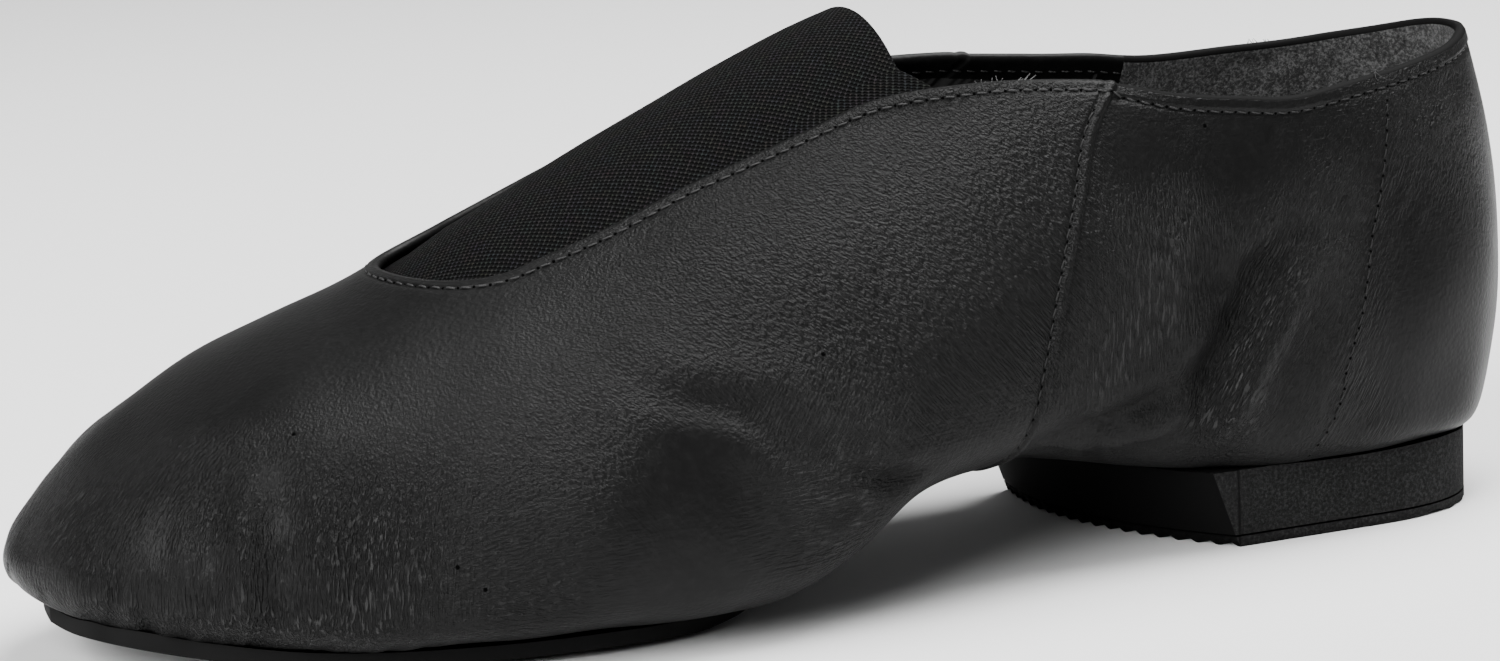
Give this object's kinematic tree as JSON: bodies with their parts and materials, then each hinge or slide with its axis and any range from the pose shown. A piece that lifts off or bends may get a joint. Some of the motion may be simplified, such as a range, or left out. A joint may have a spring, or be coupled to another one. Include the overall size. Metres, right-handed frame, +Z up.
{
  "type": "jazz shoe",
  "caption": "Low slip-on dance shoe for a left foot: soft leather upper with an elastic gore over the instep, split sole with a forefoot pad and a low stacked heel.",
  "frame": {"origin": "middle of the heel's flat resting face", "axes": "+X from the heel to the toe, +Y to the outer side of the left foot, +Z up from the floor"},
  "size_m": [0.24, 0.0871, 0.0837],
  "materials": {
    "black_leather": "soft glove leather, low sheen",
    "elastic_gore": "woven elastic, matt",
    "sole_rubber": "thin rubber sole, matt",
    "heel_stack": "buffed composite, rough",
    "lift_rubber": "ribbed rubber, matt",
    "sock_lining": "brushed lining, matt"
  },
  "bodies": {
    "root": {"upper": "black_leather", "gore": "elastic_gore", "forefoot_sole": "sole_rubber", "heel": "heel_stack", "top_lift": "lift_rubber", "insole": "sock_lining"}
  },
  "joints": []
}
